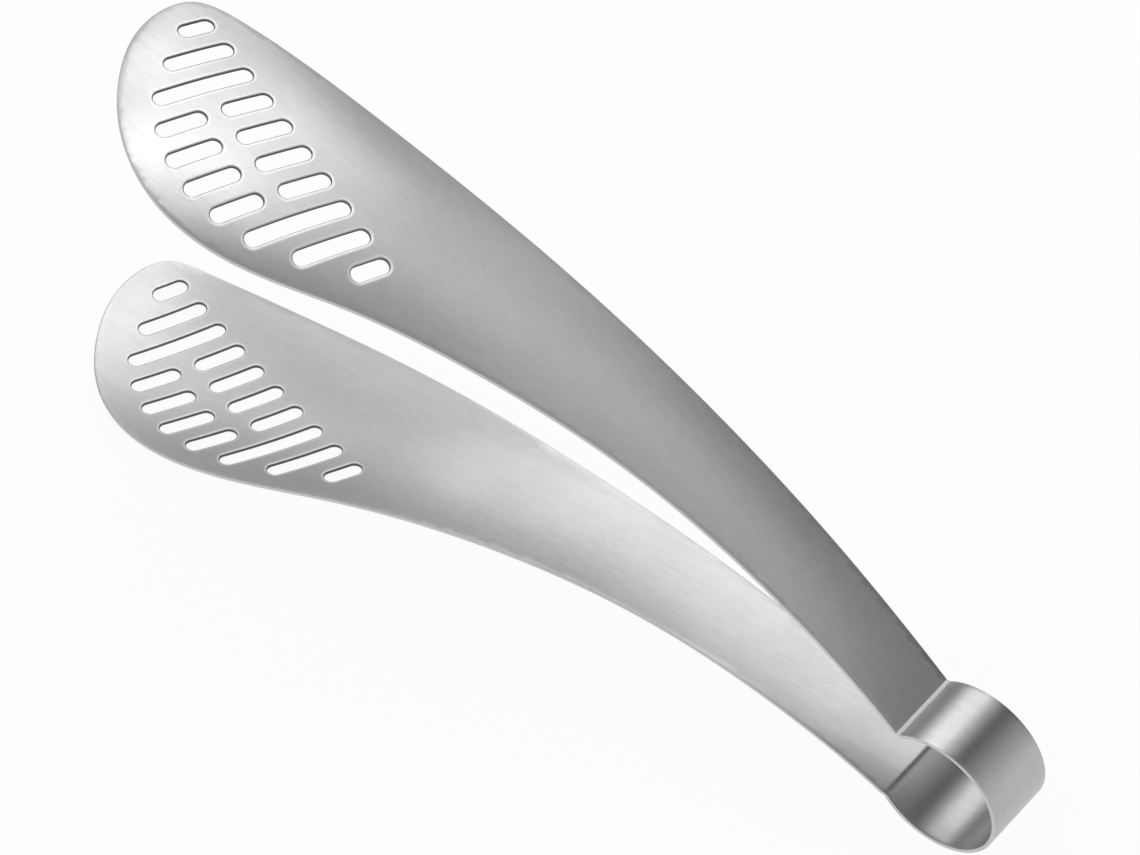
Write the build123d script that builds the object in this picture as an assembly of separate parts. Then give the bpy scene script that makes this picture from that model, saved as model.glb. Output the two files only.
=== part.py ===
from build123d import *
import os
from math import asin, cos, degrees, radians, sin

# Spring tongs, pressed and folded from one strip of stainless sheet.
# The two arms are mirror images. They run from the necks of the spring bow to the jaws, along -X.
# Each arm is flat at the neck and crowned across its width from there to the tip of the jaw.
# The origin is the centre of the bow, +Y is the straighter back edge and -Y the full belly edge.
# The tongs lie as on a table: the bow and the lower arm touch one level plane.
# Lengths are in millimetres and angles in degrees.

# Strip
SHEET = 1.0
STRIP_WIDTH = 20.0

# Spring bow and neck folds
BOW_OUTER_RADIUS = 17.2
BOW_HALF_ANGLE = 132.0
FOLD_INNER_RADIUS = 1.4

# Arm, seen from the side and measured from the neck
ARM_REACH = 239.1
ARM_RISE = 39.0
NECK_SLOPE = 10.3
TIP_SLOPE = -7.2
PROFILE_SHARES = ((0.20, 0.213), (0.40, 0.428), (0.60, 0.657), (0.80, 0.905), (0.90, 0.987), (1.0, 1.0))

# Arm, seen from above: shares of the reach, and of what the jaw adds to the strip's width
JAW_WIDTH = 56.0
NECK_SKEW = 15.1
BELLY_SHARES = (
    (0.06, 0.093), (0.16, 0.202), (0.34, 0.266), (0.52, 0.116), (0.66, -0.147),
    (0.78, -0.432), (0.86, -0.450), (0.93, -0.246), (0.98, 0.140),
)
TIP_SHARE = 0.096
BACK_SHARES = ((0.985, 0.353), (0.94, 0.456), (0.82, 0.532), (0.62, 0.575), (0.42, 0.507), (0.20, 0.309))

# Crown of the sheet: place along the arm, place of the ridge across it, and share of the full curvature
CROWN_RADIUS = 98.0
CROWN_SHARES = (
    (0.0, 0.0, 0.01), (0.25, 0.371, 0.809), (0.50, 0.416, 0.992), (0.75, 0.141, 1.0), (1.0, 0.084, 0.584),
)
BLANK_MARGIN = 8.0

# Drain slots of the jaw, in rows that slant across it. The longest row leaves the plain width free.
SLOT_WIDTH = 3.5
SLOT_PITCH = 8.0
SLOT_SLANT = 26.5
SLOT_DRIFT = 1.38
SLOT_BRIDGE = 4.6
SLOT_TIP_MARGIN = 11.7
SLOT_PLAIN_WIDTH = 24.2
SLOT_START_SHARE = 0.295
SLOT_LENGTH_SHARES = (0.265, 0.540, 0.783, 0.916, 0.988, 1.0, 0.945, 0.828, 0.597, 0.290)
SLOT_SPLIT_SHARE = 0.9

# Rounds in which the tongs are levelled on the table
LEVELLING_ROUNDS = 8

# Values that follow from those sizes
bow_radius = BOW_OUTER_RADIUS - SHEET / 2
fold_radius = FOLD_INNER_RADIUS + SHEET / 2
swell = JAW_WIDTH - STRIP_WIDTH
longest_row = JAW_WIDTH - SLOT_PLAIN_WIDTH
cut_height = ARM_RISE + 2 * BOW_OUTER_RADIUS


def heading(angle):
    """Unit vector in the side view, at this angle from +X towards +Z."""
    return Vector(cos(radians(angle)), 0, sin(radians(angle)))


# Neck: where the bow ends, the centre of the fold, and where the fold runs into the arm
bow_end = heading(BOW_HALF_ANGLE) * bow_radius
fold_centre = heading(BOW_HALF_ANGLE) * (bow_radius + fold_radius)
arm_root = fold_centre - heading(90 - NECK_SLOPE) * fold_radius
tip_x = arm_root.X - ARM_REACH


def sheet_ring(centre, mid_radius, start, size):
    """Arc of the strip, with its full width along Y, in degrees from +X towards +Z."""
    side_view = Plane(origin=centre, x_dir=(1, 0, 0), z_dir=(0, -1, 0))
    outer = CenterArc((0, 0), mid_radius + SHEET / 2, start, size)
    inner = CenterArc((0, 0), mid_radius - SHEET / 2, start, size)
    face = make_face([outer, Line(outer @ 1, inner @ 1), inner, Line(inner @ 0, outer @ 0)])
    return extrude(side_view * face, STRIP_WIDTH / 2, both=True)


def spring_bow():
    return sheet_ring((0, 0, 0), bow_radius, -BOW_HALF_ANGLE, 2 * BOW_HALF_ANGLE)


def neck_fold():
    """Sharp reverse bend between the bow and the upper arm."""
    start = BOW_HALF_ANGLE + 180
    turn = BOW_HALF_ANGLE - 90 + NECK_SLOPE
    return sheet_ring(fold_centre, fold_radius, start - turn, turn)


def side_profile():
    """Middle of the upper arm's sheet, from the neck to the tip."""
    points = [arm_root] + [arm_root + Vector(-x * ARM_REACH, 0, z * ARM_RISE) for x, z in PROFILE_SHARES]
    return Spline(*points, tangents=(heading(180 - NECK_SLOPE), heading(180 - TIP_SLOPE)))


def crowned_section(centre, along, ridge_share, curvature_share):
    """Cross-section of the sheet, wider than the jaw, square to the arm's side profile."""
    radius = CROWN_RADIUS / curvature_share
    half_angle = degrees((JAW_WIDTH / 2 + BLANK_MARGIN) / radius)
    middle = (ridge_share * swell, -radius)
    outer = CenterArc(middle, radius + SHEET / 2, 90 - half_angle, 2 * half_angle)
    inner = CenterArc(middle, radius - SHEET / 2, 90 - half_angle, 2 * half_angle)
    face = make_face([outer, Line(outer @ 1, inner @ 1), inner, Line(inner @ 0, outer @ 0)])
    return Plane(origin=centre, x_dir=(0, 1, 0), z_dir=-along) * face


def crowned_sheet():
    profile = side_profile()
    sections = []
    for place, ridge_share, curvature_share in CROWN_SHARES:
        sections.append(crowned_section(profile @ place, profile % place, ridge_share, curvature_share))
    past_tip = (profile @ 1) + (profile % 1) * BLANK_MARGIN
    sections.append(crowned_section(past_tip, profile % 1, *CROWN_SHARES[-1][1:]))
    return loft(sections)


def arm_outline():
    """Face of the arm's outline seen from above, run on past the neck."""
    neck_edge = STRIP_WIDTH / 2
    belly = [(arm_root.X - x * ARM_REACH, -neck_edge + y * swell) for x, y in BELLY_SHARES]
    back = [(arm_root.X - x * ARM_REACH, neck_edge + y * swell) for x, y in BACK_SHARES]
    tip = (tip_x, neck_edge + TIP_SHARE * swell)
    neck_belly = (arm_root.X, -neck_edge)
    neck_back = (arm_root.X, neck_edge)
    out_of_neck = Vector(-cos(radians(NECK_SKEW)), sin(radians(NECK_SKEW)))
    edge = Spline(neck_belly, *belly, tip, *back, neck_back, tangents=(out_of_neck, -out_of_neck))
    past_neck = arm_root.X + BLANK_MARGIN
    closing = Polyline(neck_back, (past_neck, neck_edge), (past_neck, -neck_edge), neck_belly)
    return make_face([edge, closing])


def slot_faces():
    """Slots with full round ends. Each row starts at the back, and a long row is split by a bridge."""
    along = Vector(-sin(radians(SLOT_SLANT)), -cos(radians(SLOT_SLANT)))
    across = Vector(cos(radians(SLOT_SLANT)), -sin(radians(SLOT_SLANT)))
    start = Vector(tip_x + SLOT_TIP_MARGIN, STRIP_WIDTH / 2 + SLOT_START_SHARE * swell)
    faces = []
    for row, share in enumerate(SLOT_LENGTH_SHARES):
        length = share * longest_row
        row_end = start + across * (row * SLOT_PITCH) - along * (row * SLOT_DRIFT)
        spans = [(0, length)]
        if share > SLOT_SPLIT_SHARE:
            half = (length - SLOT_BRIDGE) / 2
            spans = [(0, half), (length - half, length)]
        for begin, end in spans:
            centre = row_end + along * ((begin + end) / 2)
            faces.append(Pos(centre.X, centre.Y) * Rot(0, 0, 90 - SLOT_SLANT) * SlotOverall(end - begin, SLOT_WIDTH))
    return faces


def upper_arm():
    arm = crowned_sheet() & extrude(arm_outline(), cut_height, both=True)
    for face in slot_faces():
        arm -= extrude(face, cut_height, both=True)
    return arm + neck_fold()


def rest_tilt(arm):
    """Turn about Y that lays the lower arm and the bow on one level plane."""
    tilt = 0
    for _ in range(LEVELLING_ROUNDS):
        lowest = (Rot(0, tilt, 0) * arm).bounding_box().min.Z
        tilt += degrees(asin((lowest + BOW_OUTER_RADIUS) / tip_x))
    return tilt


upper = upper_arm()
lower = mirror(upper, about=Plane.XY)
laid_down = Rot(0, rest_tilt(lower), 0)
parts = {
    "spring_bow": laid_down * spring_bow(),
    "upper_arm": laid_down * upper,
    "lower_arm": laid_down * lower,
}

os.makedirs("parts", exist_ok=True)
for name, shape in parts.items():
    export_step(shape, f"parts/{name}.step")
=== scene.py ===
from math import ceil, cos, pi, radians, sin, sqrt

import bmesh
import bpy
import numpy as np
from mathutils import Matrix, Vector, geometry


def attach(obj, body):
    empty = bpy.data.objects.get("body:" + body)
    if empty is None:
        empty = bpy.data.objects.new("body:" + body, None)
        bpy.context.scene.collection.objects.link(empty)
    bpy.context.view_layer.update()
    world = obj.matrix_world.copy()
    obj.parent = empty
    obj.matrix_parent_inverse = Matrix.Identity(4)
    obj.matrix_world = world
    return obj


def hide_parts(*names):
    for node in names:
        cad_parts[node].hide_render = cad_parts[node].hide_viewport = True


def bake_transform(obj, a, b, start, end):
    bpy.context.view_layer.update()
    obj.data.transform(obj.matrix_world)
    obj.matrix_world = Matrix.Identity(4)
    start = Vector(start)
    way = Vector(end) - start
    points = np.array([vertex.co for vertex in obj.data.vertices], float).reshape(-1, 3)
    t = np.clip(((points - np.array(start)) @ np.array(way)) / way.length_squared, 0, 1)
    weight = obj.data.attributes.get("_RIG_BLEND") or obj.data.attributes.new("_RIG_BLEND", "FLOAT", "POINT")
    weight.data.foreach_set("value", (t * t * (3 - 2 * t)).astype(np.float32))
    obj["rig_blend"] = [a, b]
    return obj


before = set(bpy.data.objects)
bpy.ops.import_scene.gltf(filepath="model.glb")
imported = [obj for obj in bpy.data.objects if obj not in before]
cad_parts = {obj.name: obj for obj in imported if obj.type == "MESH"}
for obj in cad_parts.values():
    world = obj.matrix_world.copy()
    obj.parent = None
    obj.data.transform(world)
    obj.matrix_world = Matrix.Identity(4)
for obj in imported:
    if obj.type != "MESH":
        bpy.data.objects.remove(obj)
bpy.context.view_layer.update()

# Spring tongs of one folded strip of stainless sheet, lying on the bow and the lower arm.
# The upper arm and half the bow are built in the tongs' own frame, with its origin in the bow's middle.
# The lower ones are their mirror images. All are then turned as the tongs lie on a table.
# Sizes are in millimetres until a mesh is written, angles in degrees, colours linear.

MM = 0.001

# Strip, bow and neck folds, as in the CAD
SHEET = 1.0
STRIP_WIDTH = 20.0
BOW_OUTER_RADIUS = 17.2
BOW_HALF_ANGLE = 132.0
FOLD_INNER_RADIUS = 1.4

# Turn that lays the tongs on a table, as the CAD finds it
REST_TILT = 8.5163

# Arm, as in the CAD
ARM_REACH = 239.1
ARM_RISE = 39.0
NECK_SLOPE = 10.3
TIP_SLOPE = -7.2
PROFILE_SHARES = ((0.20, 0.213), (0.40, 0.428), (0.60, 0.657), (0.80, 0.905), (0.90, 0.987), (1.0, 1.0))
JAW_WIDTH = 56.0
NECK_SKEW = 15.1
BELLY_SHARES = (
    (0.06, 0.093), (0.16, 0.202), (0.34, 0.266), (0.52, 0.116), (0.66, -0.147),
    (0.78, -0.432), (0.86, -0.450), (0.93, -0.246), (0.98, 0.140),
)
TIP_SHARE = 0.096
BACK_SHARES = ((0.985, 0.353), (0.94, 0.456), (0.82, 0.532), (0.62, 0.575), (0.42, 0.507), (0.20, 0.309))

# Crown of the sheet, as in the CAD but quite flat at the neck
# Place along the arm, place of the ridge across it, and share of the full curvature
CROWN_RADIUS = 98.0
CROWN_SHARES = (
    (0.0, 0.0, 0.0), (0.25, 0.371, 0.809), (0.50, 0.416, 0.992), (0.75, 0.141, 1.0), (1.0, 0.084, 0.584),
)
PAST_TIP = 8.0

# Drain slots, as in the CAD
SLOT_WIDTH = 3.5
SLOT_PITCH = 8.0
SLOT_SLANT = 26.5
SLOT_DRIFT = 1.38
SLOT_BRIDGE = 4.6
SLOT_TIP_MARGIN = 11.7
SLOT_PLAIN_WIDTH = 24.2
SLOT_START_SHARE = 0.295
SLOT_LENGTH_SHARES = (0.265, 0.540, 0.783, 0.916, 0.988, 1.0, 0.945, 0.828, 0.597, 0.290)
SLOT_SPLIT_SHARE = 0.9

# Rounding of the cut edges: width along the face and depth through the sheet
EDGE_ROUND = (0.22, 0.22)
SLOT_ROUND_OUTSIDE = (0.45, 0.26)
SLOT_ROUND_INSIDE = (0.34, 0.22)
SLOT_GROWTH = 0.22
RIM_WIDTH = 0.55

# Finish and painted light from the face over a rounded edge: 0 as the face, -1 painted highlight, -2 painted
# highlight but matte, 1 cut face with painted shade
# Sheet's edges: lighter, partly a real polished edge and partly painted highlight
EDGE_POLISH_AND_HIGHLIGHT = (0.0, -0.5, -0.5, -0.4, -0.4)
# Slots: painted highlight on the rims, walls dark as the cut face with painted shade
SLOT_SHADE_AND_HIGHLIGHT_OUTSIDE = (-0.8, -0.2, 0.5, 0.8, 1.0)
SLOT_SHADE_AND_HIGHLIGHT_INSIDE = (-1.0, -0.6, 0.5, 1.0, 1.0)
# Fold: a painted highlight, and rougher
FOLD_PAINTED_HIGHLIGHT = -1.8

# Mesh spacing. The faces' points stand in rows of even triangles.
EDGE_STEP = 0.8
SLOT_STEP = 0.35
FACE_STEP = 1.5
FACE_ROW_STEP = FACE_STEP * sqrt(0.75)
BORDER_CLEARANCE = FACE_STEP / 2
MERGE_DISTANCE = 1e-6
TRIANGLES_INSIDE = 1
STRIP_STEPS = 20
FOLD_STEP = 3.0
BOW_STEP = 1.5
SEAM_STEP = 0.05

# Fineness of the curves that the meshes follow
PROFILE_SAMPLES = 1201
OUTLINE_SAMPLES = 6001
PLACING_ROUNDS = 5
LEAST_BEND = 1e-9

swell = JAW_WIDTH - STRIP_WIDTH
bow_radius = BOW_OUTER_RADIUS - SHEET / 2
fold_radius = FOLD_INNER_RADIUS + SHEET / 2


def heading(angle):
    """Unit vector (x, z) in the side view."""
    return np.array([cos(radians(angle)), sin(radians(angle))])


bow_end = heading(BOW_HALF_ANGLE) * bow_radius
fold_centre = heading(BOW_HALF_ANGLE) * (bow_radius + fold_radius)
arm_root = fold_centre - heading(90 - NECK_SLOPE) * fold_radius
tip_x = arm_root[0] - ARM_REACH

# Curves


def cubic(knots, values, start=None, end=None):
    """Cubic spline through values; its ends have the given slopes, or are free. Returns f(x, order)."""
    knots = np.asarray(knots, float)
    values = np.asarray(values, float)
    count = len(knots)
    gaps = np.diff(knots)
    rises = np.diff(values, axis=0) / gaps[:, None]
    matrix = np.zeros((count, count))
    right = np.zeros(values.shape)
    for i in range(1, count - 1):
        matrix[i, i - 1] = 1 / gaps[i - 1]
        matrix[i, i] = 2 / gaps[i - 1] + 2 / gaps[i]
        matrix[i, i + 1] = 1 / gaps[i]
        right[i] = 3 * (rises[i - 1] / gaps[i - 1] + rises[i] / gaps[i])
    for row, beside, slope, rise in ((0, 1, start, rises[0]), (count - 1, count - 2, end, rises[-1])):
        if slope is None:
            matrix[row, row] = 2
            matrix[row, beside] = 1
            right[row] = 3 * rise
        else:
            matrix[row, row] = 1
            right[row] = slope
    slopes = np.linalg.solve(matrix, right)

    def value(x, order=0):
        x = np.asarray(x, float)
        i = np.clip(np.searchsorted(knots, x) - 1, 0, count - 2)
        h = gaps[i][:, None]
        s = (x - knots[i])[:, None] / h
        a, b, c, d = values[i], values[i + 1], slopes[i] * h, slopes[i + 1] * h
        if order == 0:
            ends = a * (2 * s**3 - 3 * s**2 + 1) + b * (3 * s**2 - 2 * s**3)
            return ends + c * (s**3 - 2 * s**2 + s) + d * (s**3 - s**2)
        ends = a * (6 * s**2 - 6 * s) + b * (6 * s - 6 * s**2)
        return (ends + c * (3 * s**2 - 4 * s + 1) + d * (3 * s**2 - 2 * s)) / h

    return value


def lengths_along(points):
    """Length of a run of plan or side view points, from its start to each point."""
    return np.concatenate([[0], np.cumsum(np.hypot(*np.diff(points, axis=0).T))])


def chord_spline(points, start, end):
    """Spline through points on chord length, with these slopes at its ends, and its chord lengths."""
    points = np.asarray(points, float)
    chords = lengths_along(points)
    return cubic(chords, points, start, end), chords


profile_points = [arm_root] + [arm_root + np.array([-x * ARM_REACH, z * ARM_RISE]) for x, z in PROFILE_SHARES]
profile, profile_chords = chord_spline(profile_points, heading(180 - NECK_SLOPE), heading(180 - TIP_SLOPE))
profile_length = profile_chords[-1]
past_tip_place = 1 + PAST_TIP / profile_length
crown_rows = CROWN_SHARES + ((past_tip_place, *CROWN_SHARES[-1][1:]),)
crown_places = [place for place, _, _ in crown_rows]
crown_shape = [(ridge * swell, bend / CROWN_RADIUS) for _, ridge, bend in crown_rows]
crown = cubic(crown_places, crown_shape)

# Table of the side profile, run straight on past the tip
table_places = np.linspace(0, past_tip_place, PROFILE_SAMPLES)
along = np.minimum(table_places, 1) * profile_length
table_points = profile(along)
table_slopes = profile(along, 1)
table_slopes /= np.hypot(table_slopes[:, 0], table_slopes[:, 1])[:, None]
table_points += table_slopes * (np.maximum(table_places - 1, 0) * profile_length)[:, None]
table_normals = np.column_stack([table_slopes[:, 1], -table_slopes[:, 0]])


def arm_points(plan, height):
    """Points of the upper arm above plan places, at a height off the middle of the sheet."""
    x, y = plan.T
    near = x
    for _ in range(PLACING_ROUNDS):
        place = np.interp(-near, -table_points[:, 0], table_places)
        ridge, bend = crown(place).T
        bend = np.maximum(bend, LEAST_BEND)
        sag = np.sqrt(np.maximum(1 / bend**2 - (y - ridge) ** 2, 0)) - 1 / bend
        normal_x = np.interp(place, table_places, table_normals[:, 0])
        near = x - normal_x * sag
    normal_z = np.interp(place, table_places, table_normals[:, 1])
    base_x = np.interp(place, table_places, table_points[:, 0])
    base_z = np.interp(place, table_places, table_points[:, 1])
    lift = sag + height
    return np.column_stack([base_x + normal_x * lift, y, base_z + normal_z * lift])


# Cut edges


def half_round(size, finishes_and_painted_light):
    """Steps over one rounded edge, from the face to the wall: (inset, depth below the face, finish and
    painted light) each.
    """
    turns = [radians(90 * step / (len(finishes_and_painted_light) - 1)) for step in range(len(finishes_and_painted_light))]
    return [(size[0] * (1 - sin(turn)), size[1] * (1 - cos(turn)), finish_and_painted_light) for turn, finish_and_painted_light in zip(turns, finishes_and_painted_light)]


def round_rows(outer_size, inner_size, outer_painted_light_finishes, inner_painted_light_finishes):
    """Rows over a cut edge from the outer face to the inner one: (inset, height, finish and painted light)
    each.
    """
    outer = half_round(outer_size, outer_painted_light_finishes)
    inner = half_round(inner_size, inner_painted_light_finishes)
    rows = [(inset, SHEET / 2 - depth, finish_and_painted_light) for inset, depth, finish_and_painted_light in outer]
    rows += [(inset, depth - SHEET / 2, finish_and_painted_light) for inset, depth, finish_and_painted_light in reversed(inner)]
    return rows


def slot_rows():
    """Rows over a slot's edge, with a painted highlight on the rim of both faces."""
    rows = round_rows(SLOT_ROUND_OUTSIDE, SLOT_ROUND_INSIDE, SLOT_SHADE_AND_HIGHLIGHT_OUTSIDE, SLOT_SHADE_AND_HIGHLIGHT_INSIDE)
    first = (rows[0][0] + RIM_WIDTH, SHEET / 2, 0.0)
    last = (rows[-1][0] + RIM_WIDTH, -SHEET / 2, 0.0)
    return [first] + rows + [last]


edge_rows = round_rows(EDGE_ROUND, EDGE_ROUND, EDGE_POLISH_AND_HIGHLIGHT, EDGE_POLISH_AND_HIGHLIGHT)


def resample(points, slopes_of, step):
    """Evenly spaced places on a dense run of points, with their unit slopes."""
    lengths = lengths_along(points)
    count = max(2, ceil(lengths[-1] / step))
    wanted = np.linspace(0, lengths[-1], count + 1)
    places = np.column_stack([np.interp(wanted, lengths, points[:, k]) for k in (0, 1)])
    slopes = np.column_stack([np.interp(wanted, lengths, slopes_of[:, k]) for k in (0, 1)])
    return places, slopes / np.hypot(slopes[:, 0], slopes[:, 1])[:, None]


def arm_edge():
    """Plan outline from the neck's belly edge round the tip to its back edge, with the way into the sheet."""
    neck = STRIP_WIDTH / 2
    points = [(arm_root[0], -neck)]
    points += [(arm_root[0] - x * ARM_REACH, -neck + y * swell) for x, y in BELLY_SHARES]
    points += [(tip_x, neck + TIP_SHARE * swell)]
    points += [(arm_root[0] - x * ARM_REACH, neck + y * swell) for x, y in BACK_SHARES]
    points += [(arm_root[0], neck)]
    out = np.array([-cos(radians(NECK_SKEW)), sin(radians(NECK_SKEW))])
    spline, chords = chord_spline(points, out, -out)
    dense = np.linspace(0, chords[-1], OUTLINE_SAMPLES)
    places, slopes = resample(spline(dense), spline(dense, 1), EDGE_STEP)
    inward = np.column_stack([slopes[:, 1], -slopes[:, 0]])
    # The neck's end is square to the strip
    inward[0] = (0, 1)
    inward[-1] = (0, -1)
    return places, inward


def slot_edge(centre, down, across, length):
    """Plan outline of one slot with full round ends, with the way into the sheet."""
    radius = SLOT_WIDTH / 2 + SLOT_GROWTH
    straight = (length - SLOT_WIDTH) / 2
    side_count = max(2, ceil(2 * straight / EDGE_STEP))
    end_count = ceil(pi * radius / SLOT_STEP)
    places, ways = [], []
    for side in (1, -1):
        for k in range(side_count):
            places.append(centre + across * side * radius + down * side * straight * (2 * k / side_count - 1))
            ways.append(across * side)
        for k in range(end_count):
            turn = pi * k / end_count
            way = across * side * cos(turn) + down * side * sin(turn)
            places.append(centre + down * side * straight + way * radius)
            ways.append(way)
    return np.array(places), np.array(ways)


def slot_edges():
    """Plan outlines of the slots, each with the way into the sheet."""
    slant = radians(SLOT_SLANT)
    down = np.array([-sin(slant), -cos(slant)])
    across = np.array([cos(slant), -sin(slant)])
    start = np.array([tip_x + SLOT_TIP_MARGIN, STRIP_WIDTH / 2 + SLOT_START_SHARE * swell])
    edges = []
    for row, share in enumerate(SLOT_LENGTH_SHARES):
        length = share * (JAW_WIDTH - SLOT_PLAIN_WIDTH)
        row_end = start + across * row * SLOT_PITCH - down * row * SLOT_DRIFT
        spans = [(0, length)]
        if share > SLOT_SPLIT_SHARE:
            half = (length - SLOT_BRIDGE) / 2
            spans = [(0, half), (length - half, length)]
        for begin, end in spans:
            edges.append(slot_edge(row_end + down * (begin + end) / 2, down, across, end - begin))
    return edges


# Meshes


def inside(points, loop):
    """Which points lie inside a closed plan loop."""
    hit = np.zeros(len(points), bool)
    for a, b in zip(loop, np.roll(loop, -1, axis=0)):
        crosses = (a[1] > points[:, 1]) != (b[1] > points[:, 1])
        if a[1] != b[1]:
            hit ^= crosses & (points[:, 0] < (b[0] - a[0]) * (points[:, 1] - a[1]) / (b[1] - a[1]) + a[0])
    return hit


def inside_region(points, loops):
    """Which points lie inside the first loop and outside the others."""
    hit = inside(points, loops[0])
    for hole in loops[1:]:
        hit &= ~inside(points, hole)
    return hit


def face_mesh(loops):
    """Mesh of the plan region inside the first loop and outside the others: points, numbers, triangles.

    The loops' points are numbered one after another from 0. Other points have higher numbers, or -1.
    """
    low, high = loops[0].min(axis=0), loops[0].max(axis=0)
    grid = []
    for k, y in enumerate(np.arange(low[1], high[1], FACE_ROW_STEP)):
        xs = np.arange(low[0] + (k % 2) * FACE_STEP / 2, high[0], FACE_STEP)
        grid.append(np.column_stack([xs, np.full(len(xs), y)]))
    grid = np.concatenate(grid)
    grid = grid[inside_region(grid, loops)]
    border = np.concatenate(loops)
    clear = np.array([((border - p) ** 2).sum(axis=1).min() > BORDER_CLEARANCE**2 for p in grid])
    points = np.concatenate([border, grid[clear]])
    edges, first = [], 0
    for loop in loops:
        edges += [(first + k, first + (k + 1) % len(loop)) for k in range(len(loop))]
        first += len(loop)
    corners = [Vector(p) for p in points]
    result = geometry.delaunay_2d_cdt(corners, edges, [], TRIANGLES_INSIDE, MERGE_DISTANCE)
    verts = np.array([tuple(v) for v in result[0]])
    numbers = [group[0] if group else -1 for group in result[3]]
    triangles = np.array(result[2])
    return verts, numbers, triangles[inside_region(verts[triangles].mean(axis=1), loops)]


def strip_ring():
    """Cross-section of the strip: (y, height, finish and painted light) once round, from the belly edge over
    the outer face.
    """
    inset = edge_rows[0][0]
    half = STRIP_WIDTH / 2
    ys = np.linspace(-half + inset, half - inset, STRIP_STEPS + 1)
    ring = [(y, SHEET / 2, 0.0) for y in ys]
    ring += [(half - edge, height, finish_and_painted_light) for edge, height, finish_and_painted_light in edge_rows[1:-1]]
    ring += [(y, -SHEET / 2, 0.0) for y in ys[::-1]]
    ring += [(-half + edge, height, finish_and_painted_light) for edge, height, finish_and_painted_light in edge_rows[-2:0:-1]]
    return ring


def add_points(bm, points, finishes_and_painted_light):
    """Vertices at these points, each with its finish and painted light."""
    layer = bm.verts.layers.float["finish_and_painted_light"]
    verts = []
    for point, finish_and_painted_light in zip(points, finishes_and_painted_light):
        vert = bm.verts.new(point)
        vert[layer] = finish_and_painted_light
        verts.append(vert)
    return verts


def strip_station(bm, middle, normal, painted_highlight=0.0):
    """Ring of points of the strip about one place of its side view, with a painted highlight for its outer
    face.
    """
    ring = strip_ring()
    points = [(middle[0] + normal[0] * h, y, middle[1] + normal[1] * h) for y, h, _ in ring]
    return add_points(bm, points, [min(finish_and_painted_light, painted_highlight) if h > 0 else finish_and_painted_light for _, h, finish_and_painted_light in ring])


def fold_stations():
    """Places, outward normals and painted highlight on the fold, after the arm's root. The highlight fades at
    both ends.
    """
    start, end = 270 - NECK_SLOPE, 180 + BOW_HALF_ANGLE
    count = ceil((end - start) / FOLD_STEP)
    angles = list(np.linspace(start, end, count + 1)[1:-1]) + [end - SEAM_STEP, end]
    painted_highlight = [FOLD_PAINTED_HIGHLIGHT * sqrt(sin(pi * (a - start) / (end - start))) for a in angles]
    return [(fold_centre + heading(a) * fold_radius, -heading(a), f) for a, f in zip(angles, painted_highlight)]


def bow_stations():
    """Places and outward normals on half of the bow, from its end to the back of the loop."""
    count = ceil(BOW_HALF_ANGLE / BOW_STEP)
    angles = list(np.linspace(BOW_HALF_ANGLE, 0, count + 1))
    angles = [angles[0], angles[0] - SEAM_STEP] + angles[1:-1] + [SEAM_STEP, 0]
    return [(heading(a) * bow_radius, heading(a)) for a in angles]


def placed(points, mirrored):
    """From the tongs' own frame to the frame of the nodes, in metres."""
    tilt = radians(REST_TILT)
    x, y, z = np.asarray(points, float).reshape(-1, 3).T
    if mirrored:
        z = -z
    return np.column_stack([x * cos(tilt) + z * sin(tilt), y, -x * sin(tilt) + z * cos(tilt)]) * MM


def new_piece(name, build, mirrored, material):
    """Piece from a builder that fills a bmesh in the tongs' own frame."""
    bm = bmesh.new()
    bm.verts.layers.float.new("finish_and_painted_light")
    build(bm)
    for vert in bm.verts:
        vert.co = Vector(placed([vert.co], mirrored)[0])
    bmesh.ops.recalc_face_normals(bm, faces=bm.faces)
    mesh = bpy.data.meshes.new(name)
    bm.to_mesh(mesh)
    bm.free()
    mesh.polygons.foreach_set("use_smooth", [True] * len(mesh.polygons))
    mesh.materials.append(material)
    piece = bpy.data.objects.new(name, mesh)
    bpy.context.scene.collection.objects.link(piece)
    return piece


def join_rows(bm, first, second, closed=True):
    """Quads between two rows of points."""
    count = len(first)
    for k in range(count if closed else count - 1):
        after = (k + 1) % count
        bm.faces.new((first[k], first[after], second[after], second[k]))


def cap(bm, ring):
    """Closes an end with its own points, so that it doesn't round the shading of the faces beside it."""
    bm.faces.new([bm.verts.new(vert.co) for vert in ring])


def edge_wall(bm, places, ways, rows, outer_points, inner_points, closed):
    """Rounded wall between the two faces along one edge. Returns its rows of points."""
    wall = [outer_points]
    for inset, height, finish_and_painted_light in rows[1:-1]:
        points = arm_points(places + ways * inset, height)
        wall.append(add_points(bm, points, [finish_and_painted_light] * len(points)))
    wall.append(inner_points)
    for upper, lower in zip(wall, wall[1:]):
        join_rows(bm, upper, lower, closed)
    return wall


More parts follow.
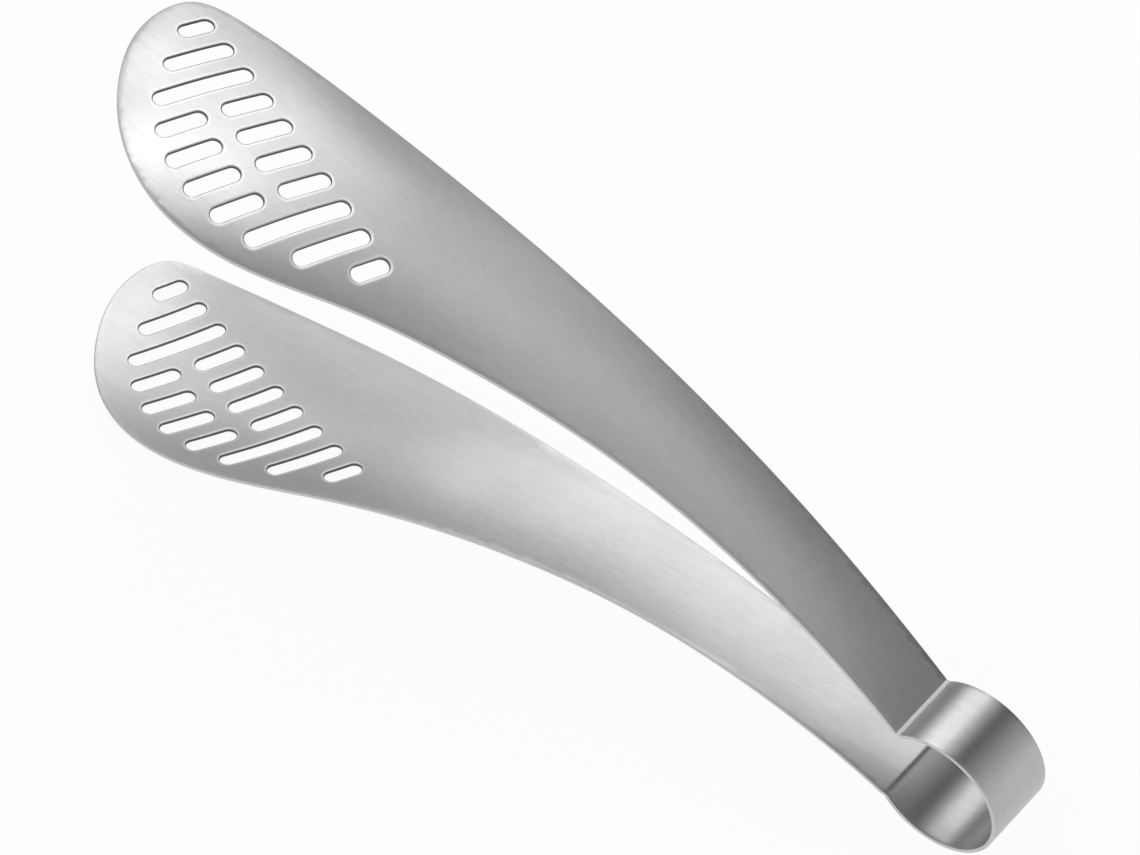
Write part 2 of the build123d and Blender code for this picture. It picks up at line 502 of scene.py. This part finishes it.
def build_arm(bm):
    """Crowned and slotted sheet of an arm with its neck fold."""
    slot_edge_rows = slot_rows()
    places, ways = arm_edge()
    slots = slot_edges()
    neck_ys = [y for y, _, _ in strip_ring()[: STRIP_STEPS + 1]]
    neck_line = np.array([(arm_root[0], y) for y in neck_ys[-2:0:-1]])
    border_points = []
    for row, turned in ((0, False), (-1, True)):
        inset, height, _ = edge_rows[row]
        loops = [np.concatenate([places + ways * inset, neck_line])]
        loops += [p + w * slot_edge_rows[row][0] for p, w in slots]
        plan, numbers, triangles = face_mesh(loops)
        verts = [bm.verts.new(p) for p in arm_points(plan, height)]
        for corners in triangles:
            order = corners[::-1] if turned else corners
            bm.faces.new([verts[k] for k in order])
        numbered = dict(zip(numbers, verts))
        border_points.append([numbered[k] for k in range(sum(len(loop) for loop in loops))])
    outer, inner = border_points
    count = len(places)
    wall = edge_wall(bm, places, ways, edge_rows, outer[:count], inner[:count], False)
    neck_end = count + len(neck_line)
    first = neck_end
    for p, w in slots:
        last = first + len(p)
        edge_wall(bm, p, w, slot_edge_rows, outer[first:last], inner[first:last], True)
        first = last
    # The neck's ring of points, in the order of strip_ring
    ring = [wall[0][0]] + outer[count:neck_end][::-1] + [row[-1] for row in wall]
    ring += inner[count:neck_end] + [row[0] for row in wall[:0:-1]]
    for middle, normal, painted_highlight in fold_stations():
        after = strip_station(bm, middle, normal, painted_highlight)
        join_rows(bm, ring, after)
        ring = after
    cap(bm, ring)


def build_bow_half(bm):
    """Half of the spring bow."""
    rings = [strip_station(bm, middle, normal) for middle, normal in bow_stations()]
    for first, second in zip(rings, rings[1:]):
        join_rows(bm, first, second)
    cap(bm, rings[0])
    cap(bm, rings[-1])


# Shader nodes


def ranged(tree, source, source_range, result_range, smooth=False):
    """Value carried from one range to another and held within it."""
    node = tree.nodes.new("ShaderNodeMapRange")
    node.interpolation_type = "SMOOTHSTEP" if smooth else "LINEAR"
    node.inputs["From Min"].default_value, node.inputs["From Max"].default_value = source_range
    node.inputs["To Min"].default_value, node.inputs["To Max"].default_value = result_range
    tree.links.new(source, node.inputs["Value"])
    return node.outputs["Result"]


def total(tree, first, *others):
    """Sum of values."""
    for other in others:
        node = tree.nodes.new("ShaderNodeMath")
        tree.links.new(first, node.inputs[0])
        tree.links.new(other, node.inputs[1])
        first = node.outputs["Value"]
    return first


def mixed(tree, amount, first, second):
    """Colour between two others. The first is a colour, or what another node gives."""
    node = tree.nodes.new("ShaderNodeMix")
    node.data_type = "RGBA"
    if isinstance(first, tuple):
        node.inputs["A"].default_value = first
    else:
        tree.links.new(first, node.inputs["A"])
    node.inputs["B"].default_value = second
    tree.links.new(amount, node.inputs["Factor"])
    return node.outputs["Result"]


def noise(tree, scale, detail):
    """Noise over the piece's own coordinates, with a scale for each axis."""
    place = tree.nodes.new("ShaderNodeTexCoord")
    stretch = tree.nodes.new("ShaderNodeMapping")
    stretch.inputs["Scale"].default_value = scale
    tree.links.new(place.outputs["Object"], stretch.inputs["Vector"])
    node = tree.nodes.new("ShaderNodeTexNoise")
    node.inputs["Scale"].default_value = 1.0
    node.inputs["Detail"].default_value = detail
    tree.links.new(stretch.outputs["Vector"], node.inputs["Vector"])
    return node.outputs["Fac"]


# Steel: from a lighter to a darker shade, with what each pattern adds to the shade

STEEL_COLOUR = (0.475, 0.472, 0.472, 1)
STEEL_DARKER = (0.415, 0.411, 0.409, 1)
BRUSH_SCALE = (14.0, 2200.0, 14.0)
BRUSH_DETAIL = 3.0
BRUSH_RANGE = (0.3, 0.7)
BRUSH_SHADE = (-0.15, 0.15)
STROKE_SCALE = (260.0, 760.0, 260.0)
STROKE_DETAIL = 2.0
STROKE_RANGE = (0.35, 0.65)
STROKE_SHADE = (-0.15, 0.15)
CLOUD_SCALE = (22.0, 22.0, 22.0)
CLOUD_DETAIL = 4.0
CLOUD_RANGE = (0.35, 0.65)
CLOUD_SHADE = (0.10, 0.60)
SPECK_SCALE = (900.0, 900.0, 900.0)
SPECK_DETAIL = 0.0
SPECK_RANGE = (0.78, 0.86)
SPECK_SHADE = (0.0, 0.6)

# Roughness over this range of shade, and what each finish adds to it
STEEL_ROUGHNESS = (0.30, 0.38)
ROUGHNESS_RANGE = (0.0, 0.8)
CUT_ROUGHER = 0.12
RIM_ROUGHER = 0.18
MATTE_ROUGHER = 0.35

# Cut face of the slot walls, darkened further with painted shade
CUT_AND_PAINTED_SHADE_COLOUR = (0.11, 0.108, 0.106, 1)
# Painted highlight on the slot rims, the sheet's edges and the fold
PAINTED_HIGHLIGHT_COLOUR = (0.74, 0.74, 0.74, 1)

# Relief: depth of the brushing in metres, and the strokes' depth as a share of it
BRUSH_DEPTH = 0.000006
BRUSH_STRENGTH = 0.35
STROKE_DEPTH_SHARE = 9.0

# Values of the finish between which each kind of edge comes in: cut face with painted shade, painted
# highlight, matte
CUT_AND_PAINTED_SHADE_FINISH = (0.0, 1.0)
PAINTED_HIGHLIGHT_FINISH = (0.0, -1.0)
MATTE_FINISH = (-1.0, -2.0)
NONE_TO_FULL = (0.0, 1.0)


def steel_material():
    """Satin stainless sheet: fine brushing along the strip, short strokes, faint clouds and tiny specks, with
    painted shade in the slot walls and a painted highlight on rims, edges and the fold.
    """
    material = bpy.data.materials.new("stainless")
    material.use_nodes = True
    tree = material.node_tree
    shader = tree.nodes["Principled BSDF"]
    shader.inputs["Metallic"].default_value = 1.0
    attribute = tree.nodes.new("ShaderNodeAttribute")
    attribute.attribute_name = "finish_and_painted_light"
    finish_and_painted_light = attribute.outputs["Fac"]
    brush = noise(tree, BRUSH_SCALE, BRUSH_DETAIL)
    stroke = noise(tree, STROKE_SCALE, STROKE_DETAIL)
    cloud = noise(tree, CLOUD_SCALE, CLOUD_DETAIL)
    speck = noise(tree, SPECK_SCALE, SPECK_DETAIL)
    brush_shade = ranged(tree, brush, BRUSH_RANGE, BRUSH_SHADE)
    stroke_shade = ranged(tree, stroke, STROKE_RANGE, STROKE_SHADE)
    cloud_shade = ranged(tree, cloud, CLOUD_RANGE, CLOUD_SHADE)
    speck_shade = ranged(tree, speck, SPECK_RANGE, SPECK_SHADE)

    shade = total(tree, brush_shade, stroke_shade, cloud_shade, speck_shade)
    colour = mixed(tree, shade, STEEL_COLOUR, STEEL_DARKER)
    # Slot walls: dark as the cut face, with painted shade
    colour = mixed(tree, ranged(tree, finish_and_painted_light, CUT_AND_PAINTED_SHADE_FINISH, NONE_TO_FULL), colour, CUT_AND_PAINTED_SHADE_COLOUR)
    # Painted highlight on the slot rims, the sheet's edges and the fold
    colour = mixed(tree, ranged(tree, finish_and_painted_light, PAINTED_HIGHLIGHT_FINISH, NONE_TO_FULL), colour, PAINTED_HIGHLIGHT_COLOUR)
    tree.links.new(colour, shader.inputs["Base Color"])

    roughness = ranged(tree, total(tree, brush_shade, cloud_shade), ROUGHNESS_RANGE, STEEL_ROUGHNESS)
    cut_rougher = ranged(tree, finish_and_painted_light, CUT_AND_PAINTED_SHADE_FINISH, (0.0, CUT_ROUGHER))
    rim_rougher = ranged(tree, finish_and_painted_light, PAINTED_HIGHLIGHT_FINISH, (0.0, RIM_ROUGHER))
    matte_rougher = ranged(tree, finish_and_painted_light, MATTE_FINISH, (0.0, MATTE_ROUGHER))
    roughness = total(tree, roughness, cut_rougher, rim_rougher, matte_rougher)
    tree.links.new(roughness, shader.inputs["Roughness"])

    bump = tree.nodes.new("ShaderNodeBump")
    bump.inputs["Strength"].default_value = BRUSH_STRENGTH
    bump.inputs["Distance"].default_value = BRUSH_DEPTH
    strokes = ranged(tree, stroke, NONE_TO_FULL, (0.0, STROKE_DEPTH_SHARE))
    tree.links.new(total(tree, brush, strokes), bump.inputs["Height"])
    tree.links.new(bump.outputs["Normal"], shader.inputs["Normal"])
    return material


steel = steel_material()
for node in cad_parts.values():
    node.data.materials.clear()
    node.data.materials.append(steel)

# Pieces: two rigid arms, and two halves of the bow, each of which bends with its arm

bow_back = tuple(placed((BOW_OUTER_RADIUS, 0, 0), False)[0].tolist())
bow_mouth = tuple(placed((bow_end[0] + SHEET, 0, 0), False)[0].tolist())

for side, mirrored in (("upper", False), ("lower", True)):
    arm = new_piece(f"{side}_arm_sheet", build_arm, mirrored, steel)
    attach(arm, f"{side}_arm")
    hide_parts(f"{side}_arm")
    half = new_piece(f"{side}_bow_half", build_bow_half, mirrored, steel)
    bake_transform(half, "bow", f"{side}_arm", start=bow_back, end=bow_mouth)
    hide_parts("spring_bow")

# Floor: its size in metres, and how far below the tongs it lies in millimetres

FLOOR_SIZE = 14.0
FLOOR_DROP = 0.05
FLOOR_COLOUR = (0.93, 0.93, 0.93, 1)
FLOOR_ROUGHNESS = 0.9
FLOOR_GLOW_SHARE = 0.94


def seen_mask(tree):
    """1 for what the camera sees, straight or in metal and glass."""
    path = tree.nodes.new("ShaderNodeLightPath")
    seen = path.outputs["Is Camera Ray"]
    for name in ("Is Glossy Ray", "Is Transmission Ray"):
        add = tree.nodes.new("ShaderNodeMath")
        add.use_clamp = True
        tree.links.new(seen, add.inputs[0])
        tree.links.new(path.outputs[name], add.inputs[1])
        seen = add.outputs["Value"]
    return seen


def floor_material():
    """Pale paper that is near white to the eye and keeps the shadow."""
    material = bpy.data.materials.new("floor_paper")
    material.use_nodes = True
    tree = material.node_tree
    paper = tree.nodes["Principled BSDF"]
    paper.inputs["Base Color"].default_value = FLOOR_COLOUR
    paper.inputs["Roughness"].default_value = FLOOR_ROUGHNESS
    glow = tree.nodes.new("ShaderNodeEmission")
    share = tree.nodes.new("ShaderNodeMath")
    share.operation = "MULTIPLY"
    share.inputs[1].default_value = FLOOR_GLOW_SHARE
    tree.links.new(seen_mask(tree), share.inputs[0])
    mix = tree.nodes.new("ShaderNodeMixShader")
    tree.links.new(share.outputs["Value"], mix.inputs["Fac"])
    tree.links.new(paper.outputs["BSDF"], mix.inputs[1])
    tree.links.new(glow.outputs["Emission"], mix.inputs[2])
    tree.links.new(mix.outputs["Shader"], tree.nodes["Material Output"].inputs["Surface"])
    return material


def add_floor():
    """Floor just under the tongs."""
    mesh = bpy.data.meshes.new("floor")
    half = FLOOR_SIZE / 2
    level = (-BOW_OUTER_RADIUS - FLOOR_DROP) * MM
    corners = [(-half, -half, level), (half, -half, level), (half, half, level), (-half, half, level)]
    mesh.from_pydata(corners, [], [(0, 1, 2, 3)])
    mesh.materials.append(floor_material())
    floor = bpy.data.objects.new("floor", mesh)
    bpy.context.scene.collection.objects.link(floor)


# World: a pale studio, with its level where there is no wall or shade

WORLD_TINT = (1.0, 0.977, 0.95, 1)
WORLD_BASE = 0.38
# Shade above the bow: direction, angle within which it is full, angle at which it ends
WORLD_SHADE = ((0.10, 0.45, 0.88), 35, 75)
# Broad soft walls: the same, and the level that each adds
WORLD_WALLS = (
    ((-0.25, 0.86, 0.43), 0, 32, 0.77),
    ((1.0, 0.1, 0.35), 0, 60, 0.69),
    ((0.1, -1.0, 0.45), 35, 90, 0.48),
)
# The first wall is cooler than the rest of the studio
WALL_TINT = (0.95, 0.965, 1.0, 1)


def patch(tree, toward, full, end, levels):
    """Value round one direction: the second level within one angle of it, the first beyond another."""
    way = tree.nodes.new("ShaderNodeTexCoord").outputs["Generated"]
    dot = tree.nodes.new("ShaderNodeVectorMath")
    dot.operation = "DOT_PRODUCT"
    dot.inputs[1].default_value = Vector(toward).normalized()
    tree.links.new(way, dot.inputs[0])
    cosines = (cos(radians(end)), cos(radians(full)))
    return ranged(tree, dot.outputs["Value"], cosines, levels, smooth=True)


def add_world():
    """Pale studio whose light changes softly with direction."""
    world = bpy.data.worlds.new("studio")
    bpy.context.scene.world = world
    world.use_nodes = True
    tree = world.node_tree
    walls = [patch(tree, toward, full, end, (0.0, level)) for toward, full, end, level in WORLD_WALLS]
    strength = total(tree, patch(tree, *WORLD_SHADE, (WORLD_BASE, 0.0)), *walls)
    toward, full, end, _ = WORLD_WALLS[0]
    tint = mixed(tree, patch(tree, toward, full, end, (0.0, 1.0)), WORLD_TINT, WALL_TINT)
    background = tree.nodes["Background"]
    tree.links.new(tint, background.inputs["Color"])
    tree.links.new(strength, background.inputs["Strength"])


# Softboxes above and behind the tongs: size, and each one's place, radiance and colour, in metres

SOFTBOX_SIZE = 0.2
SOFTBOX_TARGET = (-0.13, 0.0, 0.0)
SOFTBOX_COOL = (0.99, 0.988, 1.0)
SOFTBOX_WARM = (1.0, 0.985, 0.965)
SOFTBOXES = (
    ((-0.55, 0.42, 0.50), 1.30, SOFTBOX_COOL),
    ((-0.40, 0.42, 0.55), 1.12, SOFTBOX_COOL),
    ((-0.60, 0.10, 0.62), 2.85, SOFTBOX_COOL),
    ((-0.40, 0.30, 0.62), 2.65, SOFTBOX_COOL),
    ((-0.20, 0.10, 0.62), 3.62, SOFTBOX_COOL),
    ((-0.20, 0.30, 0.62), 1.60, SOFTBOX_WARM),
    ((-0.20, 0.50, 0.62), 1.82, SOFTBOX_WARM),
    ((0.00, 0.30, 0.62), 0.96, SOFTBOX_WARM),
)


def add_softbox(number, place, radiance, colour):
    """Square area lamp of a given brightness, facing the tongs."""
    name = f"softbox_{number}"
    lamp = bpy.data.lights.new(name, "AREA")
    lamp.size = SOFTBOX_SIZE
    lamp.color = colour
    lamp.energy = radiance * pi * SOFTBOX_SIZE**2
    holder = bpy.data.objects.new(name, lamp)
    holder.location = place
    holder.rotation_mode = "QUATERNION"
    holder.rotation_quaternion = (Vector(SOFTBOX_TARGET) - Vector(place)).to_track_quat("-Z", "Y")
    bpy.context.scene.collection.objects.link(holder)


add_floor()
add_world()
for number, (place, radiance, colour) in enumerate(SOFTBOXES, 1):
    add_softbox(number, place, radiance, colour)

# Camera, fitted to the photograph: place in metres, axes, lens and sensor in millimetres, reach in metres

CAMERA_PLACE = (0.64709549, -0.95256464, 1.42153254)
CAMERA_RIGHT = (0.7953095, 0.60592538, -0.01836393)
CAMERA_UP = (-0.44474344, 0.60379891, 0.66153621)
CAMERA_BACK = (0.4119297, -0.5179588, 0.74968834)
CAMERA_LENS = 252.746
CAMERA_SENSOR = 36.0
CAMERA_REACH = 100.0


def add_camera():
    """Camera of the photograph."""
    camera_data = bpy.data.cameras.new("camera")
    camera_data.sensor_width = CAMERA_SENSOR
    camera_data.lens = CAMERA_LENS
    camera_data.clip_end = CAMERA_REACH
    camera = bpy.data.objects.new("camera", camera_data)
    axes = Matrix((CAMERA_RIGHT, CAMERA_UP, CAMERA_BACK)).transposed().to_4x4()
    camera.matrix_world = Matrix.Translation(CAMERA_PLACE) @ axes
    bpy.context.scene.collection.objects.link(camera)
    bpy.context.scene.camera = camera


add_camera()
bpy.context.scene.view_settings.view_transform = "Standard"
